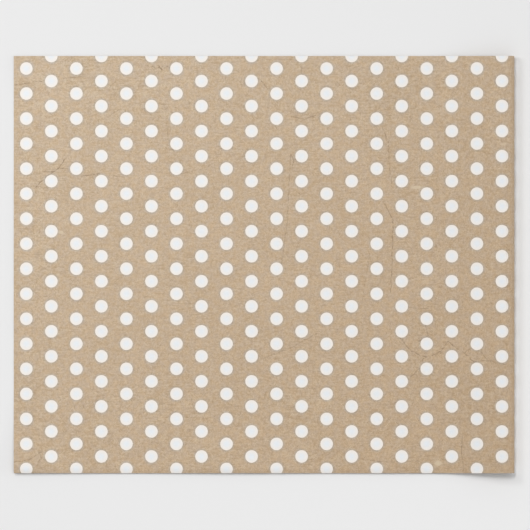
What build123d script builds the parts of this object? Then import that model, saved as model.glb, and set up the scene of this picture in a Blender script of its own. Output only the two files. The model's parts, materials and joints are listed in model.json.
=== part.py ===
from build123d import *
import math
import os

# A roll of dotted gift wrap with its first yard pulled out flat on a table, in millimetres.
# X runs from the paper's free end to the roll, Y runs along the roll, and Z is up.
# The origin is on the table, under the middle of the whole length that shows from above.
# The paper is wound with its print outside, so it leaves the top of the roll, comes down in a
# long S and lies flat with the print up.

INCH = 25.4

# The paper
PAPER_WIDTH = 30 * INCH  # along the roll
PULLED_OUT = 36 * INCH  # from the free end to the far side of the roll, from above
PAPER_THICKNESS = 0.1
COLUMN_PITCH = 1.8 * INCH  # from one column of printed dots to the next
COLUMNS_PER_TURN = 2  # the turn now on the outside of the roll holds this many columns

# The roll: its radius is the one at which a turn is a whole number of columns
ROLL_RADIUS = COLUMNS_PER_TURN * COLUMN_PITCH / (2 * math.pi)
ROLL_X = PULLED_OUT / 2 - ROLL_RADIUS

# The web: the stretch of paper in the air between the table and the top of the roll
WEB_LENGTH = 185.0
WEB_STOP = 4.0  # it ends this far short of the top line, where it clears the roll by 0.3
WEB_X = ROLL_X - WEB_LENGTH

# The core: a spiral-wound tube of glued board plies, as long as the paper is wide
CORE_BORE_RADIUS = 12.0
PLY_THICKNESS = 0.4
PLY_NAMES = ("core_inner_ply", "core_middle_ply", "core_outer_ply")
CORE_RADIUS = CORE_BORE_RADIUS + len(PLY_NAMES) * PLY_THICKNESS

# The tapes that hold the first turn of paper on the core, and the room that the turns leave them
TAPE_THICKNESS = 0.06
TAPE_AROUND = 19.0
TAPE_ALONG = 50.0
TAPE_SPACING = 300.0
TAPE_COUNT = 3
TAPE_ROOM_UP = 0.1
TAPE_ROOM_SIDE = 0.5


def tube(inner_radius, outer_radius):
    """A round tube on the roll's axis, as long as the paper is wide."""
    ring = Plane.XZ * (Circle(outer_radius) - Circle(inner_radius))
    return Pos(ROLL_X, 0, ROLL_RADIUS) * extrude(ring, amount=PAPER_WIDTH / 2, both=True)


def shell_patch(inner_radius, outer_radius, around, along):
    """A curved patch under the roll's axis, around wide on the core and along long."""
    half = math.degrees(around / CORE_RADIUS) / 2
    inside = CenterArc((0, 0), inner_radius, -90 - half, 2 * half)
    outside = CenterArc((0, 0), outer_radius, -90 - half, 2 * half)
    sides = [Line(inside @ 0, outside @ 0), Line(inside @ 1, outside @ 1)]
    section = Plane.XZ * make_face([inside, outside, *sides])
    return extrude(section, amount=along / 2, both=True)


def at_each_tape(patch):
    """Copies of a patch at each tape's place along the roll."""
    middle = (TAPE_COUNT - 1) / 2
    places = [TAPE_SPACING * (i - middle) for i in range(TAPE_COUNT)]
    return [Pos(ROLL_X, y, ROLL_RADIUS) * patch for y in places]


def unrolled_sheet():
    """The paper that lies flat, from its free end to where the web starts to rise."""
    length = WEB_X + PULLED_OUT / 2
    sheet = Box(length, PAPER_WIDTH, PAPER_THICKNESS, align=(Align.MIN, Align.CENTER, Align.MIN))
    return Pos(-PULLED_OUT / 2, 0, 0) * sheet


def lifted_web():
    """The paper in the air. A heavy strip held level at its top bends to the shape
    rise * (4 u^3 - 3 u^4), for u from 0 at the table to 1 at the roll, which is this Bezier curve."""
    rise = 2 * ROLL_RADIUS - PAPER_THICKNESS
    quarter = WEB_LENGTH / 4
    under = Bezier((0, 0), (quarter, 0), (2 * quarter, 0), (3 * quarter, rise), (WEB_LENGTH, rise))
    over = Pos(0, PAPER_THICKNESS) * under
    ends = [Line(under @ 0, over @ 0), Line(under @ 1, over @ 1)]
    section = Plane.XZ * make_face([under, over, *ends])
    web = extrude(section, amount=PAPER_WIDTH / 2, both=True)
    short = split(web, Plane.YZ.offset(WEB_LENGTH - WEB_STOP), keep=Keep.BOTTOM)
    return Pos(WEB_X, 0, 0) * short


def wound_paper():
    """The turns of paper still on the roll, as one tube, with room for the tapes under them."""
    room = shell_patch(
        CORE_RADIUS - TAPE_ROOM_UP,
        CORE_RADIUS + TAPE_ROOM_UP,
        TAPE_AROUND + 2 * TAPE_ROOM_SIDE,
        TAPE_ALONG + 2 * TAPE_ROOM_SIDE,
    )
    turns = tube(CORE_RADIUS, ROLL_RADIUS)
    for pocket in at_each_tape(room):
        turns -= pocket
    return turns


def core_ply(number):
    """One ply of the core, counted from the bore."""
    inner_radius = CORE_BORE_RADIUS + number * PLY_THICKNESS
    return tube(inner_radius, inner_radius + PLY_THICKNESS)


def starting_tapes():
    """The pieces of tape that hold the first turn on the core."""
    tape = shell_patch(CORE_RADIUS, CORE_RADIUS + TAPE_THICKNESS, TAPE_AROUND, TAPE_ALONG)
    return Compound([piece.solid() for piece in at_each_tape(tape)])


def nodes():
    """Every sub-part by name."""
    parts = {
        "unrolled_sheet": unrolled_sheet(),
        "lifted_web": lifted_web(),
        "wound_paper": wound_paper(),
        "starting_tape": starting_tapes(),
    }
    for number, name in enumerate(PLY_NAMES):
        parts[name] = core_ply(number)
    return parts


os.makedirs("parts", exist_ok=True)
for name, shape in nodes().items():
    export_step(shape, f"parts/{name}.step")
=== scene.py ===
"""The looks of a roll of dotted kraft gift wrap with its first yard pulled out flat on a table."""
import json
import math

import bpy
import numpy as np
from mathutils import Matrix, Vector


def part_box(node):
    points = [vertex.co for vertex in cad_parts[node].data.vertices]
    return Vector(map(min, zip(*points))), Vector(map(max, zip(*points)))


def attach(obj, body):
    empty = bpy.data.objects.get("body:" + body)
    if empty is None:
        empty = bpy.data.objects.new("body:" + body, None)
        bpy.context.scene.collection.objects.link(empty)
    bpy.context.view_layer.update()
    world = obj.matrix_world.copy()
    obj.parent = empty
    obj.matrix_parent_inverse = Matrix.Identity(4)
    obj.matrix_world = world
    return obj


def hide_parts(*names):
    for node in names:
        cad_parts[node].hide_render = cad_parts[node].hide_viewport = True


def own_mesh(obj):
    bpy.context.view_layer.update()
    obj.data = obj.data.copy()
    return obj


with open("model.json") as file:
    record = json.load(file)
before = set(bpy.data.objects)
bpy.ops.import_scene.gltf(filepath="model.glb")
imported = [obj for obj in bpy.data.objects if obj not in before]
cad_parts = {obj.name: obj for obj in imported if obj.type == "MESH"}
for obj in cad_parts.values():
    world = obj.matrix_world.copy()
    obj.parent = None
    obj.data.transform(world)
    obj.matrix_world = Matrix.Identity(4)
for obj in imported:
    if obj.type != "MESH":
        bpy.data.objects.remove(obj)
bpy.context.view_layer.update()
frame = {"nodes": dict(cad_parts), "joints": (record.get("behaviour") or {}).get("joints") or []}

MM = 0.001

# Places and sizes from the frame, in metres. Every second column of printed dots is half a step lower
# than the one before it, so the print repeats with each turn of the roll.
TURNS_TO_WIND_UP = 7
COLUMNS_PER_TURN = 2
WIND_UP_TRAVEL = next(j for j in frame["joints"] if j["name"] == "wind_up")["range_m"][1]
DOT_PITCH = WIND_UP_TRAVEL / (TURNS_TO_WIND_UP * COLUMNS_PER_TURN)
ROLL_RADIUS = COLUMNS_PER_TURN * DOT_PITCH / (2 * math.pi)
sheet_low, sheet_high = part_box("unrolled_sheet")
FREE_END_X = sheet_low[0]
JOIN_X = sheet_high[0]
FLAT_LENGTH = JOIN_X - FREE_END_X
HALF_WIDTH = sheet_high[1]
PAPER = sheet_high[2] - sheet_low[2]
ROLL_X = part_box("wound_paper")[1][0] - ROLL_RADIUS
CORE_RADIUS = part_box("core_outer_ply")[1][0] - ROLL_X
WEB_LENGTH = ROLL_X - JOIN_X
LEFT_ON_ROLL = 0.9144  # the paper still on the core, a second yard

# The print
DOT_RADIUS = 11.5 * MM
STAIN_WIDTH = 5.5 * MM  # the ring of paper round each dot that its ink has soaked into

# How far the paper stands off the table at its edges, and from how far in it starts to rise
NEAR_EDGE_LIFT = 8.0 * MM
FAR_EDGE_LIFT = 3.2 * MM
LONG_EDGE_REACH = 170 * MM
LIP_WIDTH = 13 * MM  # the strip along the near edge that droops again
LIP_DROOP = 2.8 * MM
FREE_END_LIFT = 1.5 * MM
FREE_END_REACH = 110 * MM

# The lifted paper goes on round the roll this far past its top, and slips this deep under the outer turn
WRAP_ANGLE = math.radians(25)
TUCK_DEPTH = 0.16 * MM

# Handling creases: how dark each is, then its points, in millimetres along the paper from its free
# end and across it from the far long edge
CREASES = (
    (0.80, ((2, 53), (28, 50), (51, 46))),
    (0.45, ((90, 41), (130, 37))),
    (0.55, ((175, 57), (187, 47))),
    (0.45, ((172, 112), (195, 96))),
    (1.00, ((38, 243), (55, 224), (81, 206), (98, 183))),
    (0.85, ((54, 212), (76, 211))),
    (0.90, ((123, 219), (157, 215))),
    (0.50, ((178, 218), (203, 221))),
    (0.55, ((2, 232), (33, 239))),
    (0.70, ((238, 17), (262, 21), (281, 19))),
    (0.50, ((279, 122), (282, 148), (292, 173))),
    (0.50, ((254, 211), (303, 216), (340, 208), (364, 196))),
    (0.35, ((268, 240), (310, 247))),
    (0.55, ((506, 178), (503, 240), (499, 312), (488, 388))),
    (0.70, ((507, 111), (531, 116), (553, 108))),
    (0.40, ((461, 6), (510, 7))),
    (0.45, ((525, 12), (526, 31))),
    (0.65, ((672, 128), (684, 156), (686, 200), (690, 232))),
    (0.75, ((678, 270), (693, 300), (692, 345), (689, 432))),
    (0.40, ((651, 358), (637, 446))),
    (0.85, ((697, 506), (728, 540), (753, 550), (780, 541), (793, 522))),
    (0.75, ((793, 522), (823, 543), (841, 559), (865, 556), (911, 567))),
    (0.65, ((725, 587), (742, 570))),
    (0.50, ((892, 344), (906, 355))),
    (0.60, ((448, 555), (500, 536), (553, 507))),
    (0.60, ((2, 742), (30, 737), (52, 722))),
    (0.55, ((630, 735), (668, 742), (741, 740))),
    (0.65, ((820, 690), (818, 722), (822, 760))),
    (0.40, ((325, 625), (331, 660))),
    (1.00, ((519, 249), (524, 253))),
    (0.90, ((452, 45), (456, 50), (463, 60))),
    (0.95, ((264, 17), (271, 25), (268, 31))),
    (0.70, ((81, 206), (99, 205))),
    (0.60, ((506, 178), (512, 190), (509, 204))),
    (0.80, ((753, 550), (741, 562))),
    (0.60, ((823, 543), (835, 534), (852, 538), (866, 556))),
    (0.65, ((45, 722), (51, 735), (41, 748))),
    (0.50, ((760, 470), (752, 488), (757, 512), (738, 524))),
    (0.45, ((700, 455), (742, 462), (758, 461))),
)
CREASE_HALF_WIDTH = 1.3 * MM
CREASE_WANDER = 9 * MM  # how far noise may bend a crease off its straight lines, peak to peak
DEEP_CREASE = 0.8  # from this darkness on, a crease also has relief
CREASE_RELIEF = -4.0  # times the height of the fibres

# Pale scuffs: middle and half sizes, in the same millimetres
SCUFFS = ((735, 240, 13, 3.5), (775, 744, 9, 5.5), (86, 322, 6, 4))


# ---------------------------------------------------------------- shader helpers

class Nodes:
    """Short calls for building one material's node tree."""

    def __init__(self, material):
        material.use_nodes = True
        self.tree = material.node_tree
        self.tree.nodes.clear()

    def add(self, kind, **settings):
        node = self.tree.nodes.new(kind)
        for key, value in settings.items():
            setattr(node, key, value)
        return node

    def feed(self, socket, value):
        """Link a socket to another node's output, or set its value."""
        if isinstance(value, bpy.types.NodeSocket):
            self.tree.links.new(value, socket)
        else:
            socket.default_value = value

    def math(self, operation, *values):
        node = self.add("ShaderNodeMath", operation=operation)
        for socket, value in zip(node.inputs, values):
            self.feed(socket, value)
        return node.outputs[0]

    def vector(self, operation, a, b):
        node = self.add("ShaderNodeVectorMath", operation=operation)
        self.feed(node.inputs[0], a)
        self.feed(node.inputs["Scale" if operation == "SCALE" else 1], b)
        return node.outputs["Value" if operation in ("DOT_PRODUCT", "DISTANCE") else "Vector"]

    def split(self, vector):
        node = self.add("ShaderNodeSeparateXYZ")
        self.feed(node.inputs[0], vector)
        return node.outputs

    def join(self, x, y, z):
        node = self.add("ShaderNodeCombineXYZ")
        for socket, value in zip(node.inputs, (x, y, z)):
            self.feed(socket, value)
        return node.outputs[0]

    def mapping(self, vector, scale=(1, 1, 1), turn=0.0, move=(0, 0, 0)):
        node = self.add("ShaderNodeMapping")
        self.feed(node.inputs["Vector"], vector)
        node.inputs["Scale"].default_value = scale
        node.inputs["Rotation"].default_value = (0, 0, turn)
        node.inputs["Location"].default_value = move
        return node.outputs[0]

    def noise(self, vector, scale, detail, roughness=0.5, output="Fac"):
        node = self.add("ShaderNodeTexNoise")
        self.feed(node.inputs["Vector"], vector)
        node.inputs["Scale"].default_value = scale
        node.inputs["Detail"].default_value = detail
        node.inputs["Roughness"].default_value = roughness
        return node.outputs[output]

    def ramp(self, value, low, high, to=(0.0, 1.0), smooth=True):
        """Take low to the first end of a range and high to its second end."""
        kind = "SMOOTHSTEP" if smooth else "LINEAR"
        node = self.add("ShaderNodeMapRange", interpolation_type=kind)
        self.feed(node.inputs["Value"], value)
        node.inputs["From Min"].default_value = low
        node.inputs["From Max"].default_value = high
        node.inputs["To Min"].default_value = to[0]
        node.inputs["To Max"].default_value = to[1]
        return node.outputs["Result"]

    def mix(self, share, a, b, blend="MIX"):
        node = self.add("ShaderNodeMix", data_type="RGBA", blend_type=blend)
        self.feed(node.inputs["Factor"], share)
        # The colour sockets come after the ones for numbers and vectors, which have the same names
        first_colour, second_colour = node.inputs[6:8]
        self.feed(first_colour, a)
        self.feed(second_colour, b)
        mixed_colour = node.outputs[2]
        return mixed_colour

    def bump(self, height, distance, strength):
        node = self.add("ShaderNodeBump")
        self.feed(node.inputs["Height"], height)
        node.inputs["Distance"].default_value = distance
        node.inputs["Strength"].default_value = strength
        return node.outputs[0]

    def surface(self, **inputs):
        shader = self.add("ShaderNodeBsdfPrincipled")
        for name, value in inputs.items():
            self.feed(shader.inputs[name.replace("_", " ")], value)
        output = self.add("ShaderNodeOutputMaterial")
        self.tree.links.new(shader.outputs[0], output.inputs["Surface"])


# ---------------------------------------------------------------- paper

KRAFT_LIGHT = (0.608, 0.448, 0.292, 1)
KRAFT_DARK = (0.528, 0.383, 0.240, 1)
KRAFT_GREY = (0.550, 0.442, 0.345, 1)
# The next colour is painted shade, multiplied into the paper towards the near end of the roll
KRAFT_FALLOFF_SHADE = (0.930, 0.882, 0.828, 1)
# The two fleck colours also serve as painted shade and painted highlight on the fine wrinkles
FLECK_AND_SHADE_DARK = (0.400, 0.292, 0.185, 1)
FLECK_AND_HIGHLIGHT_PALE = (0.680, 0.562, 0.404, 1)
# The crease colour is partly crushed fibre and partly painted shade in the folds
CREASE_FIBRE_AND_SHADE = (0.250, 0.170, 0.105, 1)
INK_MIDDLE = (0.792, 0.828, 0.862, 1)
INK_RIM = (0.882, 0.820, 0.753, 1)
INK_STAIN = (0.900, 0.990, 1.140, 1)


def flat_place(n):
    """Where a point of the pulled-out paper is on the table: the paper itself never slides there."""
    return n.add("ShaderNodeNewGeometry").outputs["Position"]


def roll_place(n):
    """Where a point of the wound paper is on the roll's own axes, whatever way the roll has turned."""
    return n.add("ShaderNodeTexCoord").outputs["Object"]


def angle_round_roll(n, x, z):
    """The angle of a place round the roll's axis, from the top of the roll at rest."""
    right = n.math("SUBTRACT", x, ROLL_X)
    up = n.math("SUBTRACT", z, ROLL_RADIUS)
    return n.math("ARCTAN2", right, up)


def along_the_paper(n, place):
    """How far along the paper a point of the roll's outer turn is, as if the paper were flat."""
    x, _, z = n.split(place)
    return n.math("MULTIPLY_ADD", angle_round_roll(n, x, z), ROLL_RADIUS, ROLL_X)


def dot_mask(n, x, y, place):
    """1 on the printed dots and 0 between them, and how far it is to the nearest dot's middle.

    The edge of a dot is ragged, as ink is on rough paper.
    """
    soft_edge = 0.2 * MM
    raggedness = 0.5 * MM
    columns = n.math("DIVIDE", n.math("SUBTRACT", x, FREE_END_X), DOT_PITCH)
    column = n.math("FLOOR", columns)
    across = n.math("SUBTRACT", n.math("SUBTRACT", columns, column), 0.5)
    # Even whole numbers are added before the remainders are taken, so that nothing is below zero
    odd = n.math("MODULO", n.math("ADD", column, 100), 2)
    rows = n.math("DIVIDE", n.math("SUBTRACT", HALF_WIDTH, y), DOT_PITCH)
    shifted = n.math("MULTIPLY_ADD", odd, 0.5, n.math("ADD", rows, 20))
    down = n.math("SUBTRACT", n.math("FRACT", shifted), 0.5)
    squared = n.math("ADD", n.math("MULTIPLY", across, across), n.math("MULTIPLY", down, down))
    distance = n.math("MULTIPLY", n.math("SQRT", squared), DOT_PITCH)
    ragged = n.math("SUBTRACT", n.noise(place, scale=1400, detail=2), 0.5)
    edge = n.math("MULTIPLY_ADD", ragged, raggedness, distance)
    return n.ramp(edge, DOT_RADIUS - soft_edge, DOT_RADIUS + soft_edge, to=(1, 0)), distance


def near_line(n, place, start, end):
    """How near a place is to a straight crease, from 0 to 1."""
    run = (end[0] - start[0], end[1] - start[1], 0.0)
    offset = n.vector("SUBTRACT", place, (*start, 0.0))
    share = n.math("MULTIPLY", n.vector("DOT_PRODUCT", offset, run), 1 / (run[0] ** 2 + run[1] ** 2))
    share = n.math("MAXIMUM", n.math("MINIMUM", share, 1.0), 0.0)
    foot = n.vector("SCALE", run, share)
    return n.ramp(n.vector("DISTANCE", offset, foot), 0.0, CREASE_HALF_WIDTH, to=(1, 0))


def creases(n, x, y, beyond, least=0.0):
    """How dark a crease is at a place on the paper.

    Pieces of crease that end before `beyond`, and creases paler than `least`, are left out.
    """
    place = n.join(x, y, 0.0)
    wander = n.noise(place, scale=85, detail=4, roughness=0.72, output="Color")
    centred = n.vector("SUBTRACT", wander, (0.5, 0.5, 0.5))
    bent = n.vector("ADD", place, n.vector("MULTIPLY", centred, (CREASE_WANDER, CREASE_WANDER, 0.0)))
    total = 0.0
    for darkness, points in CREASES:
        if darkness < least:
            continue
        places = [(FREE_END_X + along * MM, HALF_WIDTH - across * MM) for along, across in points]
        for start, end in zip(places, places[1:]):
            if end[0] < beyond:
                continue
            near = near_line(n, bent, start, end)
            total = n.math("MAXIMUM", total, n.math("MULTIPLY", near, darkness))
    broken = n.ramp(n.noise(place, scale=170, detail=2), 0.38, 0.56, to=(0.1, 1))
    return n.math("MULTIPLY", total, broken)


def scuffs(n, x, y):
    """1 in the pale scuffs of the paper, 0 outside them."""
    total = 0.0
    for along, across, half_length, half_width in SCUFFS:
        right = n.math("DIVIDE", n.math("SUBTRACT", x, FREE_END_X + along * MM), half_length * MM)
        up = n.math("DIVIDE", n.math("SUBTRACT", y, HALF_WIDTH - across * MM), half_width * MM)
        away = n.math("ADD", n.math("MULTIPLY", right, right), n.math("MULTIPLY", up, up))
        total = n.math("MAXIMUM", total, n.ramp(away, 0.2, 1.0, to=(1, 0)))
    return total


def fibres(n, place):
    """Short fibres lying every way in the sheet, from noise stretched along several directions."""
    directions = 4
    first_direction = 0.08
    total = None
    for i in range(directions):
        turned = n.mapping(place, turn=i * math.pi / directions + first_direction)
        stretched = n.mapping(turned, scale=(110, 1000, 900), move=(i, 2 * i, 0))
        one = n.ramp(n.noise(stretched, scale=1, detail=2), 0.58, 0.72)
        total = one if total is None else n.math("MAXIMUM", total, one)
    return total


def wrinkle_shade_and_highlight(n, place):
    """Fine wrinkles along the paper, here and there in groups, painted into the colour only: painted shade
    on their dark sides and painted highlight on their pale sides.
    """
    fine = n.noise(n.mapping(place, scale=(62, 330, 330)), scale=1, detail=4, roughness=0.65)
    spread = n.noise(n.mapping(place, move=(0.5, 0.9, 0.1)), scale=14, detail=3)
    groups = n.ramp(spread, 0.38, 0.66, to=(0.3, 1))
    dark = n.math("MULTIPLY", n.ramp(fine, 0.53, 0.66), groups)
    pale = n.math("MULTIPLY", n.ramp(fine, 0.47, 0.34), groups)
    return dark, pale


def kraft(n, place):
    """The colour and the height of bare kraft paper at a place; the colour also holds the painted shade and
    painted highlight of fine wrinkles.
    """
    cloud = n.noise(place, scale=11, detail=6, roughness=0.62)
    colour = n.mix(n.ramp(cloud, 0.32, 0.68), KRAFT_DARK, KRAFT_LIGHT)
    tint = n.noise(n.mapping(place, move=(0.7, 0.2, 0.4)), scale=80, detail=3, roughness=0.6)
    colour = n.mix(n.ramp(tint, 0.36, 0.64, to=(0.17, 0.83)), colour, KRAFT_GREY)
    flocs = n.noise(place, scale=230, detail=4, roughness=0.8)
    colour = n.mix(n.ramp(flocs, 0.50, 0.64, to=(0, 0.42)), colour, FLECK_AND_SHADE_DARK)
    colour = n.mix(n.ramp(flocs, 0.50, 0.36, to=(0, 0.42)), colour, FLECK_AND_HIGHLIGHT_PALE)
    dark_fibres = fibres(n, place)
    colour = n.mix(n.math("MULTIPLY", dark_fibres, 0.95), colour, FLECK_AND_SHADE_DARK)
    pale_fibres = fibres(n, n.mapping(place, move=(0.31, 0.17, 0.0)))
    colour = n.mix(n.math("MULTIPLY", pale_fibres, 0.85), colour, FLECK_AND_HIGHLIGHT_PALE)
    # Painted shade and painted highlight of fine wrinkles, which have no relief of their own
    wrinkle_shade, wrinkle_highlight = wrinkle_shade_and_highlight(n, place)
    colour = n.mix(n.math("MULTIPLY", wrinkle_shade, 0.50), colour, FLECK_AND_SHADE_DARK)
    colour = n.mix(n.math("MULTIPLY", wrinkle_highlight, 0.42), colour, FLECK_AND_HIGHLIGHT_PALE)
    height = n.math("ADD", n.math("MULTIPLY", flocs, 0.6), n.math("MULTIPLY", dark_fibres, 0.4))
    return colour, height


def painted_falloff_shade(n, x, y, colour):
    """Painted shade: the sheet grows slowly darker and browner from the far corner of its free end to the
    near end of the roll, standing in for light that falls off across it.
    """
    share = n.ramp(n.math("SUBTRACT", x, y), -0.8, 0.8, smooth=False)
    return n.mix(share, colour, n.mix(1.0, colour, KRAFT_FALLOFF_SHADE, "MULTIPLY"))


def printed_paper(name, find_place, find_length=None, crease_from=FREE_END_X):
    """The printed side: white dots on kraft."""
    material = bpy.data.materials.new(name)
    n = Nodes(material)
    place = find_place(n)
    x, y, _ = n.split(place)
    if find_length:
        x = find_length(n, place)
    colour, height = kraft(n, place)
    # Painted shade: the paper is darker towards the near end of the roll
    colour = painted_falloff_shade(n, x, y, colour)
    # Creases darkened: partly crushed fibres, partly painted shade in their folds
    colour = n.mix(creases(n, x, y, crease_from), colour, CREASE_FIBRE_AND_SHADE)
    colour = n.mix(n.math("MULTIPLY", scuffs(n, x, y), 0.7), colour, FLECK_AND_HIGHLIGHT_PALE)
    dots, distance = dot_mask(n, x, y, place)
    stain = n.ramp(distance, DOT_RADIUS, DOT_RADIUS + STAIN_WIDTH, to=(1, 0))
    colour = n.mix(stain, colour, n.mix(1.0, colour, INK_STAIN, "MULTIPLY"))
    ink = n.mix(n.ramp(distance, 0.1 * DOT_RADIUS, DOT_RADIUS), INK_MIDDLE, INK_RIM)
    through = n.math("MULTIPLY", n.ramp(height, 0.2, 0.9), 0.06)
    inked = n.mix(through, ink, colour)
    deep = creases(n, x, y, crease_from, DEEP_CREASE)
    relief = n.math("MULTIPLY_ADD", deep, CREASE_RELIEF, height)
    n.surface(
        Base_Color=n.mix(dots, colour, inked),
        Roughness=n.ramp(dots, 0, 1, to=(0.82, 0.62)),
        Specular_IOR_Level=0.25,
        Normal=n.bump(relief, 0.05 * MM, 0.8),
    )
    return material


def plain_paper(name):
    """The back of the sheet."""
    material = bpy.data.materials.new(name)
    n = Nodes(material)
    colour, height = kraft(n, roll_place(n))
    n.surface(
        Base_Color=colour,
        Roughness=0.86,
        Specular_IOR_Level=0.2,
        Normal=n.bump(height, 0.03 * MM, 0.7),
    )
    return material


def cut_paper(name):
    """The cut edge of the sheet, paler than its faces."""
    material = bpy.data.materials.new(name)
    n = Nodes(material)
    fuzz = n.noise(roll_place(n), scale=900, detail=3)
    n.surface(Base_Color=n.mix(fuzz, FLECK_AND_HIGHLIGHT_PALE, KRAFT_LIGHT), Roughness=0.9, Specular_IOR_Level=0.2)
    return material


# ---------------------------------------------------------------- sheets

def paper_mesh(name, back, materials):
    """A sheet of paper from the points of its back, an array of rows by columns by 3.

    Rows run along the paper and columns across it. The materials are those of the print, the back and
    the cut edge.
    """
    along = np.gradient(back, axis=0)
    across = np.gradient(back, axis=1)
    normal = np.cross(along, across)
    normal /= np.linalg.norm(normal, axis=2, keepdims=True)
    front = back + normal * PAPER
    rows, columns = back.shape[:2]
    points = np.concatenate([front.reshape(-1, 3), back.reshape(-1, 3)])
    index = np.arange(rows * columns).reshape(rows, columns)
    under = index + rows * columns

    def quads(grid, flip):
        corners = [grid[:-1, :-1], grid[1:, :-1], grid[1:, 1:], grid[:-1, 1:]]
        stacked = np.stack(corners[::-1] if flip else corners, axis=-1)
        return stacked.reshape(-1, 4)

    def strip(top, bottom):
        return np.stack([top[:-1], bottom[:-1], bottom[1:], top[1:]], axis=-1)

    print_faces = quads(index, False)
    back_faces = quads(under, True)
    edge_faces = np.concatenate([
        strip(index[:, 0], under[:, 0]),
        strip(index[::-1, -1], under[::-1, -1]),
        strip(index[0, ::-1], under[0, ::-1]),
        strip(index[-1, :], under[-1, :]),
    ])
    faces = np.concatenate([print_faces, back_faces, edge_faces])
    mesh = bpy.data.meshes.new(name)
    mesh.from_pydata(points.tolist(), [], faces.tolist())
    for material in materials:
        mesh.materials.append(material)
    print_slot, back_slot, edge_slot = range(3)
    face_counts = [len(print_faces), len(back_faces), len(edge_faces)]
    slots = np.repeat([print_slot, back_slot, edge_slot], face_counts)
    mesh.polygons.foreach_set("material_index", slots.astype(np.int32))
    mesh.polygons.foreach_set("use_smooth", slots != edge_slot)
    mesh.validate()
    mesh.set_sharp_from_angle(angle=math.radians(60))
    mesh.update()
    piece = bpy.data.objects.new(name, mesh)
    bpy.context.scene.collection.objects.link(piece)
    return piece


def smooth_step(x):
    x = np.clip(x, 0, 1)
    return x * x * (3 - 2 * x)


def edge_lift(y):
    """How far the paper stands off the table across the sheet: it rises towards both long edges.

    The near edge rises more, and droops again over its lip.
    """
    reach = np.clip((np.abs(y) - (HALF_WIDTH - LONG_EDGE_REACH)) / LONG_EDGE_REACH, 0, 1)
    droop = np.clip((np.abs(y) - (HALF_WIDTH - LIP_WIDTH)) / LIP_WIDTH, 0, 1) ** 2
    return np.where(y < 0, NEAR_EDGE_LIFT * reach ** 2 - LIP_DROOP * droop, FAR_EDGE_LIFT * reach ** 2)


def columns_across():
    """Places across the sheet, closer together at its long edges."""
    columns = 191
    crowding = 0.3
    share = np.linspace(-1, 1, columns)
    return HALF_WIDTH * ((1 - crowding) * share + crowding * np.sin(share * math.pi / 2))


def flat_sheet(materials):
    """The paper on the table: its long edges and its free end stand a little off it.

    The long edges' lift comes and goes in slow waves along them, which die out towards the join. The
    free end's lift comes and goes across it.
    """
    rows = 181
    x = np.linspace(FREE_END_X, JOIN_X, rows)[:, None]
    y = columns_across()[None, :]
    to_join = (JOIN_X - x) / FLAT_LENGTH
    wave = 1 + 0.25 * np.sin(to_join * 11) * smooth_step(to_join * 3) * np.sign(y)
    end = FREE_END_LIFT * np.clip(1 - (x - FREE_END_X) / FREE_END_REACH, 0, 1) ** 2
    z = edge_lift(y) * wave + end * (0.6 + 0.4 * np.cos(y * 9))
    back = np.stack(np.broadcast_arrays(x, y, z), axis=-1)
    return paper_mesh("flat_paper", back, materials)


def lifted_profile():
    """The lifted paper from the side, x and z: in the air, then its first few degrees on the roll."""
    rows_in_air = 63
    rows_on_roll = 13
    rise = 2 * ROLL_RADIUS - PAPER
    u = np.linspace(0, 1, rows_in_air)
    x = JOIN_X + WEB_LENGTH * u
    z = rise * (4 * u ** 3 - 3 * u ** 4)
    angle = np.linspace(0, WRAP_ANGLE, rows_on_roll + 1)[1:]
    radius = ROLL_RADIUS - PAPER - TUCK_DEPTH * smooth_step(angle / WRAP_ANGLE)
    x = np.concatenate([x, ROLL_X + radius * np.sin(angle)])
    z = np.concatenate([z, ROLL_RADIUS + radius * np.cos(angle)])
    return x, z


def lifted_paper(materials):
    """The paper between the table and the roll: it slips under the outer turn a little past the top.

    Its long edges settle level before it reaches the roll.
    """
    x, z = (side[:, None] for side in lifted_profile())
    y = columns_across()[None, :]
    settle = 1 - smooth_step((x - JOIN_X) / (0.6 * WEB_LENGTH))
    z = z + edge_lift(y) * settle
    back = np.stack(np.broadcast_arrays(x, y, z), axis=-1)
    return paper_mesh("lifted_paper", back, materials)


def wound_turns(materials):
    """The turns on the core, as the one spiral sheet that they are.

    Their ends don't lie quite flush: each turn stops up to half a millimetre short.
    """
    steps_per_turn = 60
    columns = 9
    mean_radius = (ROLL_RADIUS + CORE_RADIUS) / 2
    turns = LEFT_ON_ROLL / (2 * math.pi * mean_radius)
    turn_pitch = (ROLL_RADIUS - CORE_RADIUS) / turns
    angle = np.linspace(0, turns * 2 * math.pi, int(turns * steps_per_turn) + 1)[:, None]
    radius = ROLL_RADIUS - PAPER - turn_pitch * angle / (2 * math.pi)
    inset = 0.25 * MM * (1 + np.sin(angle * 0.37) * np.cos(angle * 0.11))
    x = ROLL_X + radius * np.sin(angle)
    y = np.linspace(-1, 1, columns)[None, :] * (HALF_WIDTH - inset)
    z = ROLL_RADIUS + radius * np.cos(angle)
    back = np.stack(np.broadcast_arrays(x, y, z), axis=-1)
    return paper_mesh("wound_turns", back, materials)


# ---------------------------------------------------------------- core and tape

BOARD_LIGHT = (0.44, 0.33, 0.22, 1)
BOARD_DARK = (0.33, 0.24, 0.155, 1)
BOARD_STRIP = 95 * MM  # how far along the tube one turn of its board strip goes
TAPE_DARK = (0.70, 0.67, 0.58, 1)
TAPE_LIGHT = (0.78, 0.76, 0.68, 1)


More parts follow.
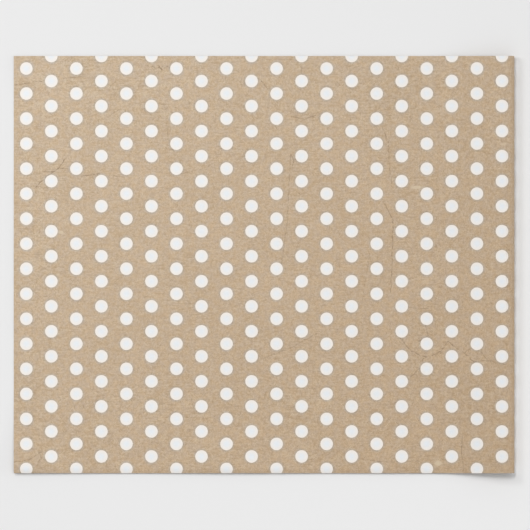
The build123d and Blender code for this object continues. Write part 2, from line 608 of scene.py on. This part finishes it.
def core_board(name, seam_start):
    """Tube board: grey-brown, with coarse fibres and the helical seam of its strip.

    The seam starts at a share of a turn round the tube.
    """
    material = bpy.data.materials.new(name)
    n = Nodes(material)
    place = roll_place(n)
    x, y, z = n.split(place)
    cloud = n.noise(place, scale=90, detail=4, roughness=0.6)
    colour = n.mix(n.ramp(cloud, 0.3, 0.7), BOARD_DARK, BOARD_LIGHT)
    colour = n.mix(n.math("MULTIPLY", fibres(n, place), 0.4), colour, FLECK_AND_SHADE_DARK)
    around = n.math("DIVIDE", angle_round_roll(n, x, z), 2 * math.pi)
    along = n.math("DIVIDE", y, BOARD_STRIP)
    # Twenty whole turns are added before the remainder is taken, so that nothing is below zero
    helix = n.math("FRACT", n.math("ADD", n.math("ADD", around, along), 20 + seam_start))
    seam = n.ramp(n.math("ABSOLUTE", n.math("SUBTRACT", helix, 0.5)), 0.004, 0.010, to=(1, 0))
    colour = n.mix(n.math("MULTIPLY", seam, 0.6), colour, FLECK_AND_SHADE_DARK)
    height = n.math("SUBTRACT", n.math("MULTIPLY", cloud, 0.5), seam)
    n.surface(
        Base_Color=colour,
        Roughness=0.9,
        Specular_IOR_Level=0.2,
        Normal=n.bump(height, 0.1 * MM, 0.7),
    )
    return material


def tape_film(name):
    """Matt adhesive tape, streaked along its length."""
    material = bpy.data.materials.new(name)
    n = Nodes(material)
    streak = n.noise(n.mapping(roll_place(n), scale=(1, 40, 1)), scale=60, detail=2)
    n.surface(Base_Color=n.mix(streak, TAPE_DARK, TAPE_LIGHT), Roughness=0.35, Specular_IOR_Level=0.5)
    return material


def paint_node(node, material):
    """Give a CAD node its material."""
    piece = frame["nodes"][node]
    piece.data.materials.clear()
    piece.data.materials.append(material)


# ---------------------------------------------------------------- the object

flat_print = printed_paper("kraft_print_flat", flat_place)
roll_print = printed_paper("kraft_print_roll", roll_place, along_the_paper, ROLL_X - math.pi * ROLL_RADIUS)
paper_back = plain_paper("kraft_back")
paper_edge = cut_paper("kraft_cut_edge")

flat = flat_sheet([flat_print, paper_back, paper_edge])
lifted = lifted_paper([flat_print, paper_back, paper_edge])
turns = wound_turns([roll_print, paper_back, paper_edge])

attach(flat, "sheet")
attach(lifted, "lift")
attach(turns, "roll")
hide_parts("unrolled_sheet")
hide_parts("lifted_web")
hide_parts("wound_paper")

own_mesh(flat)

SEAM_STEP = 0.31  # from one ply's seam to the next, as a share of a turn
for number, node in enumerate(("core_inner_ply", "core_middle_ply", "core_outer_ply")):
    paint_node(node, core_board("core_board_" + str(number), SEAM_STEP * number))
paint_node("starting_tape", tape_film("tape_film"))


# ---------------------------------------------------------------- the studio

def make_floor():
    """A wide pale floor just under the paper, a little darker towards the key light to even it out."""
    half = 150.0
    z = -0.05 * MM
    corners = [(-half, -half, z), (half, -half, z), (half, half, z), (-half, half, z)]
    mesh = bpy.data.meshes.new("floor")
    mesh.from_pydata(corners, [], [(0, 1, 2, 3)])
    floor = bpy.data.objects.new("floor", mesh)
    bpy.context.scene.collection.objects.link(floor)
    material = bpy.data.materials.new("floor")
    n = Nodes(material)
    x, y, _ = n.split(flat_place(n))
    towards_key = n.math("SUBTRACT", y, x)
    shade = n.ramp(towards_key, -1.0, 1.0, to=(0.890, 0.765), smooth=False)
    n.surface(Base_Color=n.join(shade, shade, shade), Roughness=1.0, Specular_IOR_Level=0.0)
    mesh.materials.append(material)


def aim(thing, direction):
    """Turn a light so that it shines along a direction."""
    thing.rotation_euler = Vector(direction).to_track_quat("-Z", "Y").to_euler()


def add_light(name, kind, towards, **settings):
    """A light that shines on the middle of the table from a direction."""
    light = bpy.data.objects.new(name, bpy.data.lights.new(name, kind))
    for key, value in settings.items():
        setattr(light.data, key, value)
    aim(light, [-c for c in towards])
    light.visible_camera = False
    bpy.context.scene.collection.objects.link(light)
    return light


def make_lights():
    """A soft key from the far left, two fills from the right, a soft box near the free end, and the room."""
    add_light("key", "SUN", (-0.17, 0.32, 0.93), energy=0.98, angle=math.radians(14))
    add_light("fill", "SUN", (0.35, 0.0, 0.93), energy=0.47, angle=math.radians(26))
    add_light("low_fill", "SUN", (0.98, 0.0, 0.17), energy=0.40, angle=math.radians(16))
    place = (-1.2, 1.0, 2.0)
    soft = add_light("soft_box", "AREA", place, energy=14.5, shape="SQUARE", size=0.8)
    soft.location = place
    world = bpy.data.worlds.new("studio")
    world.use_nodes = True
    background = world.node_tree.nodes["Background"]
    background.inputs["Color"].default_value = (1, 1, 1, 1)
    background.inputs["Strength"].default_value = 0.378
    bpy.context.scene.world = world


def make_camera():
    """Straight above the sheet, far off, so that the roll's height spreads nothing."""
    view_width = 0.9683
    middle = (0.0017, -0.0008)
    distance = 40.0
    sensor = 36
    camera = bpy.data.objects.new("camera", bpy.data.cameras.new("camera"))
    camera.data.sensor_width = sensor
    camera.data.lens = sensor * distance / view_width
    camera.data.clip_end = 3 * distance
    camera.location = (*middle, distance)
    bpy.context.scene.collection.objects.link(camera)
    bpy.context.scene.camera = camera


make_floor()
make_lights()
make_camera()
bpy.context.scene.view_settings.view_transform = "Standard"
